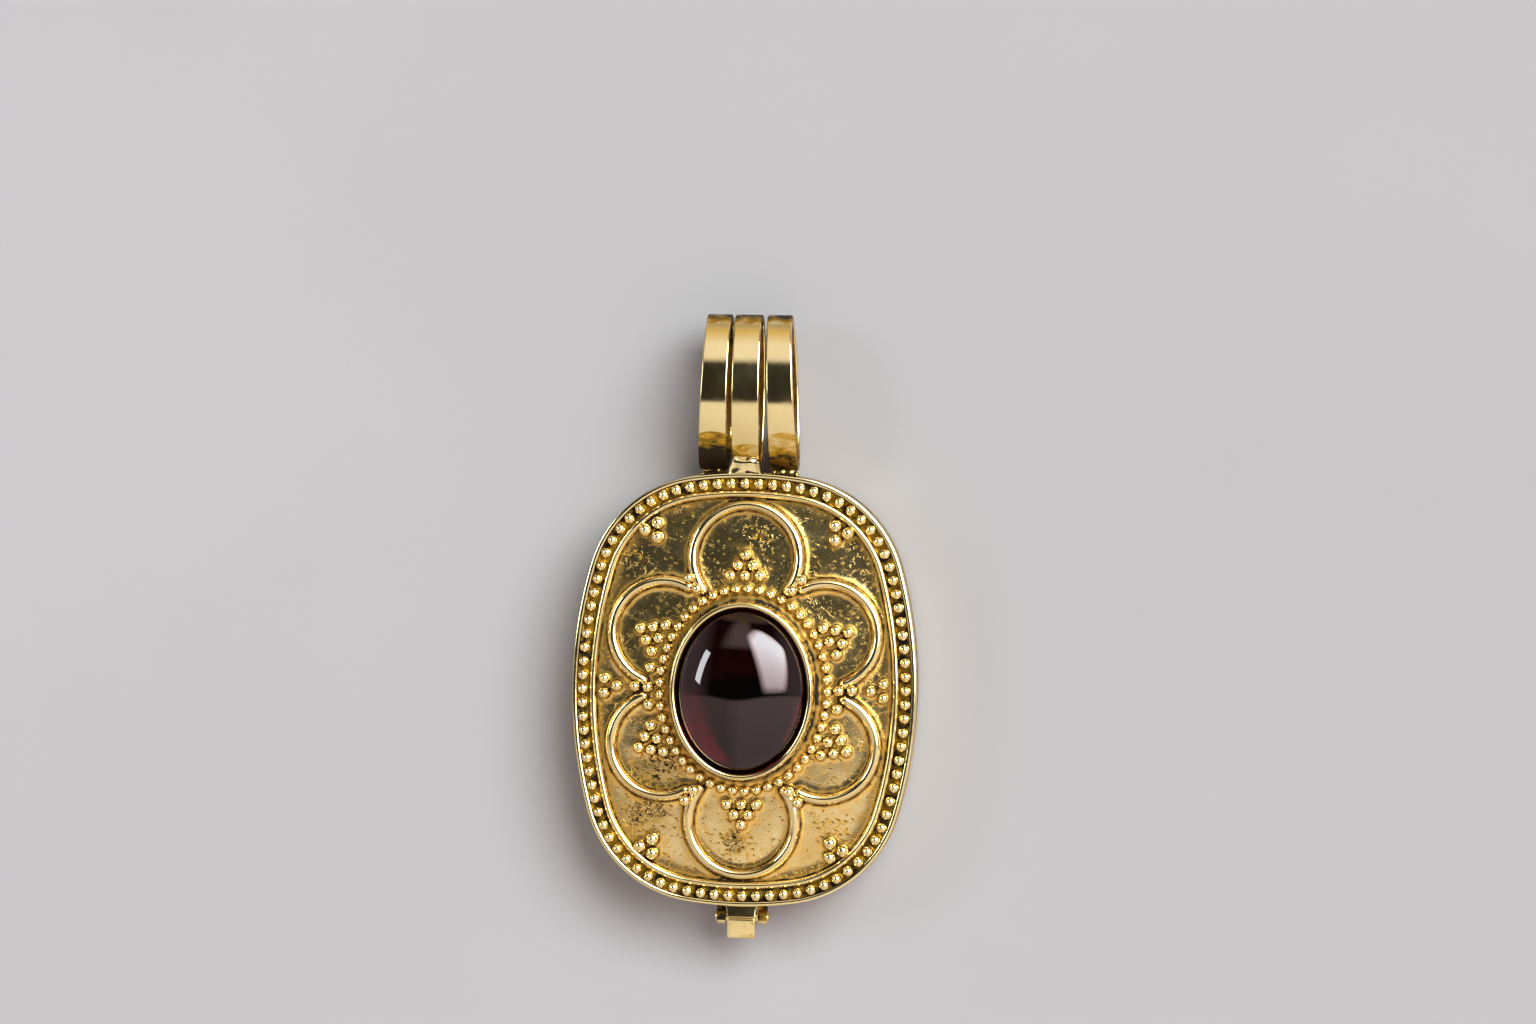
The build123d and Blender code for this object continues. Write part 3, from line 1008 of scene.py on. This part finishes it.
def scratches_effect():
    """Fine polishing scratches in three ways, and how hazy they leave the metal."""
    tree, given, out = effect(
        "polishing scratches",
        [("Place", "Vector", None), ("Fineness", "Float", 1.0)],
        [("Height", "Float"), ("Haze", "Float")],
    )
    ridges = []
    for turn, seed in scratch_ways:
        stretched = scaled(tree, turned(tree, given["Place"], turn), scratch_stretch)
        sized = add(
            tree, "ShaderNodeVectorMath", {0: stretched, "Scale": given["Fineness"]},
            operation="SCALE",
        )
        lines = add(
            tree, "ShaderNodeTexNoise",
            {"Vector": sized.outputs[0], "W": seed, "Scale": 1.0, "Detail": 2.0},
            noise_dimensions="4D",
        )
        ridges.append(range_of(tree, lines.outputs["Fac"], 0.6, 0.75))
    total = folded(tree, "ADD", ridges)
    hazy = range_of(tree, cloud_of(tree, given["Place"], 700.0, 4.0), 0.35, 0.75)
    feed(tree, out, {"Height": total, "Haze": times_plus(tree, total, 0.35, hazy)})
    return tree


def tarnish_and_shade_effect():
    """Where brown patina and painted shade lie: in the hollows and the places painted dark, and in small
    specks.
    """
    tree, given, out = effect(
        "tarnish_and_shade",
        [
            ("Place", "Vector", None), ("Hollow", "Float", 0.0), ("Reach", "Float", 0.5),
            ("Specks", "Float", 0.2),
        ],
        [("Mask", "Float")],
    )
    uneven = times_plus(tree, cloud_of(tree, given["Place"], 1700.0, 5.0), 0.9, -0.45)
    deep = math_of(tree, "ADD", given["Hollow"], uneven)
    start = math_of(tree, "SUBTRACT", 1.0, given["Reach"])
    past_start = math_of(tree, "SUBTRACT", deep, start)
    settled = math_of(tree, "DIVIDE", past_start, given["Reach"], clamp=True)
    dots = range_of(tree, cloud_of(tree, given["Place"], 5200.0, 3.0), 0.6, 0.72)
    feed(tree, out, {"Mask": most(tree, settled, times(tree, dots, given["Specks"]))})
    return tree


def tone_effect():
    """Gold that is paler in one place and redder in another."""
    tree, given, out = effect(
        "gold tone",
        [
            ("Place", "Vector", None), ("Pale", "Color", (0.9, 0.65, 0.3, 1)),
            ("Deep", "Color", (0.75, 0.45, 0.15, 1)), ("Patches", "Float", 300.0),
        ],
        [("Tone", "Color")],
    )
    share = range_of(tree, cloud_of(tree, given["Place"], given["Patches"], 4.0), 0.35, 0.68)
    feed(tree, out, {"Tone": blend_colours(tree, share, given["Pale"], given["Deep"])})
    return tree


def stain_and_shade_effect():
    """Colour of darkened metal, part patina and part painted shade: amber where it is thin, nearly black
    where it is thick.
    """
    tree, given, out = effect(
        "stain_and_shade",
        [
            ("Metal", "Color", (0.9, 0.65, 0.3, 1)), ("Amber", "Color", (0.62, 0.32, 0.028, 1)),
            ("Dark", "Color", (0.016, 0.008, 0.003, 1)), ("Amount", "Float", 0.0),
        ],
        [("Stained_and_shaded", "Color")],
    )
    thin = range_of(tree, given["Amount"], 0.0, 0.4)
    thick = range_of(tree, given["Amount"], 0.35, 1.0)
    amber = blend_colours(tree, thin, given["Metal"], given["Amber"])
    feed(tree, out, {"Stained_and_shaded": blend_colours(tree, thick, amber, given["Dark"])})
    return tree


# Worn places of the plate, as (place aside, place up, reach, how strong)
worn_places = [
    (-4.9 * mm, -4.6 * mm, 2.1 * mm, 1.0),
    (-5.6 * mm, -7.3 * mm, 1.8 * mm, 0.75),
    (5.4 * mm, -8.2 * mm, 1.6 * mm, 0.65),
    (-0.4 * mm, -8.9 * mm, 1.5 * mm, 0.65),
]


def worn_share(tree, place):
    """How worn the plate is at a place."""
    level_place = scaled(tree, place, (1, 1, 0))
    shares = []
    for x, y, reach, strong in worn_places:
        values = {0: level_place, 1: (x, y, 0)}
        away = add(tree, "ShaderNodeVectorMath", values, operation="DISTANCE").outputs["Value"]
        shares.append(range_of(tree, away, 0.45 * reach, reach, strong, 0.0))
    return folded(tree, "MAXIMUM", shares)


def etched_effect():
    """Grain of the etched plate: crumbled grain, wandering and winding lines, and small pits."""
    tree, given, out = effect(
        "etched grain", [("Place", "Vector", None)],
        [("Height", "Float"), ("Marks", "Float"), ("Grooves", "Float")],
    )
    place = given["Place"]
    worn = worn_share(tree, place)
    where = cloud_of(tree, place, 480.0, 2.0)
    broken = cloud_of(tree, place, 3600.0, 1.0)
    line = off_from(tree, cloud_of(tree, place, 1700.0, 1.0, Distortion=1.6), 0.5)
    groove = range_of(tree, times_plus(tree, worn, -0.07, line), 0.012, 0.045, 1.0, 0.0)
    groove = times(tree, groove, range_of(tree, broken, 0.46, 0.55))
    groove = times(tree, groove, most(tree, range_of(tree, where, 0.38, 0.62), worn))
    bend = off_from(tree, cloud_of(tree, place, 3300.0, 1.0, Distortion=1.5), 0.5)
    patchy = range_of(tree, times_plus(tree, worn, 0.3, where), 0.64, 0.76)
    squiggle = times(tree, range_of(tree, bend, 0.03, 0.06, 1.0, 0.0), patchy)
    dashes = scaled(tree, turned(tree, place, 0.3), (1500, 3700, 0))
    cells = add(
        tree, "ShaderNodeTexVoronoi", {"Vector": dashes, "Scale": 1.0, "Randomness": 1.0},
        voronoi_dimensions="2D",
    )
    rare = range_of(tree, times_plus(tree, worn, 0.24, broken), 0.56, 0.62)
    pit = times(tree, range_of(tree, cells.outputs["Distance"], 0.14, 0.34, 1.0, 0.0), rare)
    marks = times(tree, groove, times_plus(tree, worn, 0.6, 0.4))
    marks = most(tree, most(tree, marks, times(tree, pit, 0.9)), squiggle)
    crumb = cloud_of(tree, place, 9000.0, 2.0, Roughness=0.6)
    height = times_plus(tree, crumb, 0.18, times(tree, groove, -0.3))
    height = times_plus(tree, squiggle, -0.08, times_plus(tree, pit, -0.4, height))
    feed(tree, out, {"Height": height, "Marks": marks, "Grooves": groove})
    return tree


scratches = scratches_effect()
tarnish_and_shade = tarnish_and_shade_effect()
gold_tone = tone_effect()
stain_and_shade = stain_and_shade_effect()
etched_grain = etched_effect()


def foot_stain_and_shade(tree, place, foot_edge, middle):
    """How dark the feet of the loops are, from a sharp arched edge down: part discolouring from the
    solder, part painted shade and painted dark reflection, darker on the left loop.
    """
    parts = add(tree, "ShaderNodeSeparateXYZ", {0: place})
    aside, along = parts.outputs["X"], parts.outputs["Y"]
    flat_place = scaled(tree, place, (1400, 3800, 1400))
    cloud = cloud_of(tree, flat_place, 1.0, 4.0, Roughness=0.6, Distortion=0.6)
    ragged = times_plus(tree, cloud, 0.2 * mm, -0.1 * mm)
    off = math_of(tree, "SUBTRACT", math_of(tree, "ABSOLUTE", aside), middle)
    arch = times(tree, times(tree, off, off), 250.0)
    level = math_of(tree, "ADD", math_of(tree, "ADD", along, arch), ragged)
    below = range_of(tree, level, foot_edge, foot_edge - 0.06 * mm)
    deeper = range_of(tree, level, foot_edge - 0.6 * mm, foot_edge - 1.4 * mm, 0.0, 0.95)
    left = range_of(tree, aside, 1.0 * mm, -1.0 * mm, -0.36, 0.34)
    uneven = times_plus(tree, cloud, 1.9, -0.68)
    thick = math_of(tree, "ADD", math_of(tree, "ADD", deeper, left), uneven)
    thin = times_plus(tree, cloud, 1.2, -0.34)
    return math_of(tree, "MULTIPLY", below, most(tree, thick, thin), clamp=True)


def tone_tarnish_and_shade(tree, place, pale, deep, patches, reach, specks):
    """Tone of a gold, and how much patina and painted shade lie on it."""
    hollow_and_shade = add(tree, "ShaderNodeAttribute", attribute_name="hollow_and_shade").outputs["Fac"]
    tones = {"Place": place, "Pale": pale, "Deep": deep, "Patches": patches}
    where = {"Place": place, "Hollow": hollow_and_shade, "Reach": reach, "Specks": specks}
    return use(tree, gold_tone, tones)["Tone"], use(tree, tarnish_and_shade, where)["Mask"]


def stained_and_shaded_metal(tree, shader, tone, stained_and_shaded, rough, rougher, **amber):
    """Feeds the shader a metal that loses its colour and its shine where the patina and painted shade are
    thick.
    """
    feed(tree, shader, {
        "Base Color": use(tree, stain_and_shade, {"Metal": tone, "Amount": stained_and_shaded, **amber})["Stained_and_shaded"],
        "Roughness": times_plus(tree, stained_and_shaded, rougher, rough, clamp=True),
        "Metallic": range_of(tree, stained_and_shaded, crust_start, 1.0, 1.0, crust_metallic),
        "Specular IOR Level": range_of(tree, stained_and_shaded, crust_start, 1.0, 0.5, crust_specular),
    })


# Golds, as (name, pale tone, deep tone, fineness of the patches, reach of the tarnish and painted shade,
# specks, roughness, haze, depth of the scratches in millimetres, then for the loops where the stain and
# painted shade of the foot end and how far aside its arch is)
loop_tones = (0.84, 0.66, 0.35, 1), (0.78, 0.57, 0.25, 1)
gold_table = [
    ("polished_gold", *loop_tones, 260.0, 0.45, 0.05, 0.07, 0.10, 0.004),
    ("side_loop_gold", *loop_tones, 260.0, 0.45, 0.03, 0.07, 0.08, 0.003, 15.2 * mm, 2.1 * mm),
    ("middle_loop_gold", *loop_tones, 260.0, 0.45, 0.03, 0.07, 0.08, 0.003, 14.5 * mm),
    ("wire_gold", (0.83, 0.64, 0.33, 1), (0.76, 0.54, 0.22, 1), 330.0, 0.5, 0.08, 0.09, 0.10, 0.005),
    ("granule_gold", (0.88, 0.70, 0.38, 1), (0.79, 0.57, 0.25, 1), 500.0, 0.45, 0.06, 0.05, 0.06, 0.002),
]


def gold(
    name, pale, deep, patches, reach, specks, roughness, haze, scratch_depth, foot_edge=None, middle=0.0
):
    """Cast and polished gold metal with patina and painted shade left in its hollows."""
    material, tree, shader, place = new_material(name)
    tone, stained_and_shaded = tone_tarnish_and_shade(tree, place, pale, deep, patches, reach, specks)
    if foot_edge:
        stained_and_shaded = most(tree, stained_and_shaded, foot_stain_and_shade(tree, place, foot_edge, middle))
    marks = use(tree, scratches, {"Place": place, "Fineness": 1.0})
    stained_and_shaded_metal(tree, shader, tone, stained_and_shaded, times_plus(tree, marks["Haze"], haze, roughness), 0.3)
    height = times_plus(tree, marks["Height"], -0.12, cloud_of(tree, place, 1300.0, 3.0))
    dented(tree, shader, times_plus(tree, stained_and_shaded, -0.5, height), scratch_depth * mm)
    return material


def etched_gold():
    """Plate of the cover: etched gold, brown in its pits, and brown by the wires with patina and painted
    shade.
    """
    material, tree, shader, place = new_material("etched_gold")
    pale, deep, amber = (0.78, 0.575, 0.27, 1), (0.64, 0.44, 0.17, 1), (0.88, 0.46, 0.09, 1)
    tone, stained_and_shaded = tone_tarnish_and_shade(tree, place, pale, deep, 420.0, 0.9, 0.28)
    grain = use(tree, etched_grain, {"Place": place})
    dark = most(tree, stained_and_shaded, grain["Marks"])
    rough = times_plus(tree, grain["Grooves"], 0.12, 0.16)
    stained_and_shaded_metal(tree, shader, tone, dark, rough, 0.25, Amber=amber)
    dented(tree, shader, grain["Height"], 0.01 * mm)
    return material


def garnet_glass():
    """Dark red stone, clear inside, with faint clouds and a few hair scratches."""
    material, tree, shader, place = new_material("garnet_glass")
    share = range_of(tree, cloud_of(tree, place, 260.0, 3.0), 0.35, 0.7)
    marks = use(tree, scratches, {"Place": place, "Fineness": 0.6})
    feed(tree, shader, {
        "Base Color": blend_colours(tree, share, (0.07, 0.004, 0.006, 1), (0.045, 0.002, 0.004, 1)),
        "IOR": 1.62,
        "Specular IOR Level": 0.35,
        "Specular Tint": (1.0, 0.72, 0.73, 1),
        "Transmission Weight": 1.0,
        "Roughness": times_plus(tree, marks["Haze"], 0.012, 0.01),
    })
    dented(tree, shader, marks["Height"], 0.0001 * mm)
    return material


def pale_floor():
    """Pale plain floor with faint clouds."""
    material, tree, shader, place = new_material("pale_floor")
    cloud = cloud_of(tree, place, 25.0, 6.0)
    feed(tree, shader, {
        "Base Color": blend_colours(tree, cloud, (0.259, 0.21, 0.212, 1), (0.299, 0.243, 0.245, 1)),
        "Roughness": 0.85,
    })
    return material


def give(piece, material):
    """Puts a material on a piece."""
    piece.data.materials.clear()
    piece.data.materials.append(material)


# Setting

# Edges of the tall window at the right, as (point on it, way inwards, softness), one unit ahead
right_window_edges = [
    (0.37, -0.06, 0.944, 0.33, 0.07),
    (0.09, 0.74, 0.867, -0.499, 0.13),
    (0.80, 1.20, 0.0, -1.0, 0.15),
    (1.11, -0.02, -0.863, 0.505, 0.18),
    (0.70, -0.03, 0.0, 1.0, 0.05),
]
window_strength = 19.0
dark_room = 0.035
white_light = (1.0, 0.985, 0.96, 1)
warm_ceiling = (0.78, 0.61, 0.24, 1)
cool_window = (0.71, 0.97, 1.0, 1)
plain_background = (0.60, 0.595, 0.60, 1)

# Soft box at the left, its way and long way from the pendant, in metres and watts
left_strip = {
    "way": (-0.733, 0.229, 0.615), "long_way": (0.137, 0.344, 0.037),
    "length": 0.2, "width": 0.085, "distance": 0.5, "power": 0.75,
}

# The photograph's scale, and its middle and the pendant's middle in pixels
px_per_metre = 17.0 / mm
photo_middle = (768, 512)
pendant_middle = (743.5, 690)
camera_distance = 0.251
camera_right, camera_up, camera_lean = radians(5.0), radians(3.0), radians(1.0)


def make_floor():
    """Plain floor that the pendant lies on."""
    deselect()
    bpy.ops.mesh.primitive_plane_add(size=4.0, location=(0, 0, -0.01 * mm))
    floor = named("floor")
    give(floor, pale_floor())


def table_light(tree, up, aside):
    """Bright table below, with a soft edge that sags in the middle."""
    off_middle = math_of(tree, "DIVIDE", math_of(tree, "ADD", aside, 0.13), 0.38)
    sag = math_of(tree, "EXPONENT", times(tree, times(tree, off_middle, off_middle), -1.0))
    table = range_of(tree, times_plus(tree, sag, 0.05, up), -0.105, -0.07, 1.0, 0.0)
    below = times(tree, table, range_of(tree, up, -0.9, -0.2, 0.8, 1.06))
    return times(tree, below, range_of(tree, aside, -0.3, -0.05, 0.68, 1.0))


def ceiling_light(tree, up, aside, near):
    """Pale ceiling ahead, from halfway up."""
    bearing = math_of(tree, "DEGREES", math_of(tree, "ARCTAN2", aside, near))
    window = times(tree, range_of(tree, up, 0.42, 0.5), range_of(tree, up, 0.93, 1.0, 1.0, 0.5))
    left_of, right_of = range_of(tree, bearing, 4.0, 14.0, 1.0, 0.0), range_of(tree, bearing, -34.0, -16.0)
    ahead = most(tree, times(tree, left_of, right_of), range_of(tree, up, 0.86, 0.94))
    return times(tree, window, ahead)


def tall_window_light(tree, up, aside, near):
    """Tall window at the right, darker at its foot."""
    in_front = most(tree, near, 0.05)
    level_x = math_of(tree, "DIVIDE", aside, in_front)
    level_y = math_of(tree, "DIVIDE", up, in_front)
    shares = []
    for x, y, turn_x, turn_y, soft in right_window_edges:
        inside = times(tree, math_of(tree, "SUBTRACT", level_x, x), turn_x)
        inside = times_plus(tree, math_of(tree, "SUBTRACT", level_y, y), turn_y, inside)
        shares.append(range_of(tree, inside, -soft, soft))
    return folded(tree, "MULTIPLY", [*shares, range_of(tree, level_y, 0.0, 0.7, 0.4, 1.0)])


def make_room():
    """Light from all round, and a plain background for the camera."""
    world = bpy.data.worlds.new("studio")
    bpy.context.scene.world = world
    world.use_nodes = True
    tree = world.node_tree
    tree.nodes.clear()
    way = add(tree, "ShaderNodeTexCoord").outputs["Generated"]
    parts = add(tree, "ShaderNodeSeparateXYZ", {0: way}).outputs
    up, aside, near = parts["Y"], parts["X"], parts["Z"]
    window = ceiling_light(tree, up, aside, near)
    tall = tall_window_light(tree, up, aside, near)
    sides = range_of(tree, math_of(tree, "ABSOLUTE", aside), 0.55, 0.85, 0.0, 0.45)
    strength = most(tree, table_light(tree, up, aside), sides)
    strength = times_plus(tree, window, 1.0, math_of(tree, "ADD", strength, dark_room))
    strength = times_plus(tree, tall, window_strength, strength)
    warm = times(tree, range_of(tree, up, 0.72, 0.93), window)
    tint = blend_colours(tree, tall, blend_colours(tree, warm, white_light, warm_ceiling), cool_window)
    light = add(tree, "ShaderNodeBackground", {"Color": tint, "Strength": strength})
    plain = add(tree, "ShaderNodeBackground", {"Color": plain_background, "Strength": 1.0})
    seen = add(tree, "ShaderNodeLightPath").outputs["Is Camera Ray"]
    mixed = add(tree, "ShaderNodeMixShader", {0: seen, 1: light.outputs[0], 2: plain.outputs[0]})
    add(tree, "ShaderNodeOutputWorld", {"Surface": mixed.outputs[0]})


def facing(place, right, up, back):
    """Matrix of a thing at a place that looks away from its back."""
    return Matrix.Translation(place) @ Matrix((right, up, back)).transposed().to_4x4()


def make_softbox(name, way, long_way, length, width, distance, power):
    """Soft box that faces the pendant."""
    lamp = bpy.data.lights.new(name, "AREA")
    lamp.shape = "RECTANGLE"
    lamp.size, lamp.size_y = length, width
    lamp.energy = power
    lamp.color = cool_window[:3]
    holder = bpy.data.objects.new(name, lamp)
    bpy.context.scene.collection.objects.link(holder)
    back = Vector(way).normalized()
    along = (Vector(long_way) - back * Vector(long_way).dot(back)).normalized()
    place = back * distance + Vector((0, 0, dome_top))
    holder.matrix_world = facing(place, along, back.cross(along), back)
    holder.visible_camera = False


def make_camera():
    """Camera at the photograph's angle, straight above the face of the pendant."""
    back = Vector((tan(camera_right), tan(camera_up), 1)).normalized()
    up = (Vector((0, 1, 0)) - back * back.y).normalized()
    right = up.cross(back)
    up, right = (
        up * cos(camera_lean) - right * sin(camera_lean), right * cos(camera_lean) + up * sin(camera_lean)
    )
    middle = Vector((0, 0, dome_top))
    place = middle + back * camera_distance
    aim = middle + right * (photo_middle[0] - pendant_middle[0]) / px_per_metre
    aim += up * (pendant_middle[1] - photo_middle[1]) / px_per_metre
    back = (place - aim).normalized()
    right = up.cross(back).normalized()
    lens = bpy.data.cameras.new("camera")
    lens.lens = 100
    lens.sensor_width = 36
    lens.clip_start, lens.clip_end = 0.005, 20
    camera = bpy.data.objects.new("camera", lens)
    bpy.context.scene.collection.objects.link(camera)
    camera.matrix_world = facing(place, right, back.cross(right), back)
    bpy.context.scene.camera = camera


# Putting it together

make_camera()
make_room()
make_floor()
make_softbox("left_strip", **left_strip)
bpy.context.scene.view_settings.view_transform = "Standard"

golds = {row[0]: gold(*row) for row in gold_table}
plate_gold = etched_gold()
garnet_material = garnet_glass()

case_tray = make_case_tray()
cover_border = make_cover_border()
border_wire = make_border_wire()
petal_wires = [make_petal_wire(i + 1, *petal) for i, petal in enumerate(petal_table)]
collar = make_collar()
garnet = make_garnet()
middle_loop = make_middle_loop()
left_loop, right_loop = [make_side_loop(*loop) for loop in side_loop_table]
middle_solder = solder_lump("middle_solder", middle_strip_shift, *middle_lump)
left_solder, right_solder = [
    solder_lump(
        f"{name}_solder",
        middle_strip_shift + side * (middle_strip_width / 2 + foot_gap + side_strip_foot_width / 2),
        *side_lump,
    )
    for name, foot_gap, _, side in side_loop_table
]
knuckle = barrel("knuckle", 0, knuckle_radius, knuckle_width)
tab_top = hinge_z + knuckle_radius + tab_rise
knuckle_foot = make_knuckle_foot(tab_top)
opening_tab = make_opening_tab(tab_top)
ear_place = knuckle_width / 2 + ear_gap + ear_width / 2
ear_sides = [("left", -ear_place), ("right", ear_place)]
ears = [barrel(f"ear_{side}", x, ear_radius, ear_width) for side, x in ear_sides]
ear_span = hinge_y, ear_foot_end, hinge_z - ear_radius, ear_foot_top
ear_feet = [foot_block(f"ear_foot_{side}", x, ear_width, *ear_span) for side, x in ear_sides]
# Painted shade: the ears and their feet are painted dark except at the ears' far ends, away from the case,
# which get a light tint.
for piece, shaded in zip(ears + ear_feet, ear_shade):
    mark_tarnish_and_shade(piece, np.where(vertex_places(piece)[:, 1] > hinge_y - ear_tip, shaded, 0.1))
pin = make_hinge_pin()

granule_nodes = ["border_granules", "ring_granules", "petal_granules", "field_granules"]
spots = {node: granule_spots(node) for node in granule_nodes}
granules = {
    node: make_granules(node.replace("granules", "balls"), spots[node], ball_fullness[node])
    for node in granule_nodes
}
field_plate = make_field_plate([spot for node in granule_nodes[1:] for spot in spots[node]])

back_pieces = [case_tray, left_loop, right_loop, left_solder, right_solder, *ears, *ear_feet]
cover_pieces = [
    cover_border, field_plate, border_wire, *petal_wires, collar, middle_loop, middle_solder, knuckle,
    knuckle_foot, opening_tab,
]
for piece in back_pieces + [pin]:
    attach(piece, "back")
for piece in cover_pieces + [garnet] + list(granules.values()):
    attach(piece, "cover")
for piece in back_pieces + cover_pieces + [pin]:
    give(piece, golds["polished_gold"])
for piece in [border_wire, *petal_wires, collar]:
    give(piece, golds["wire_gold"])
give(field_plate, plate_gold)
give(middle_loop, golds["middle_loop_gold"])
for piece in [left_loop, right_loop]:
    give(piece, golds["side_loop_gold"])
give(garnet, garnet_material)
for piece in granules.values():
    give(piece, golds["granule_gold"])
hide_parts("back_case")
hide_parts("front_cover")
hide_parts("hinge_pin")
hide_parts("garnet_cabochon")
for node, piece in granules.items():
    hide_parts(node)
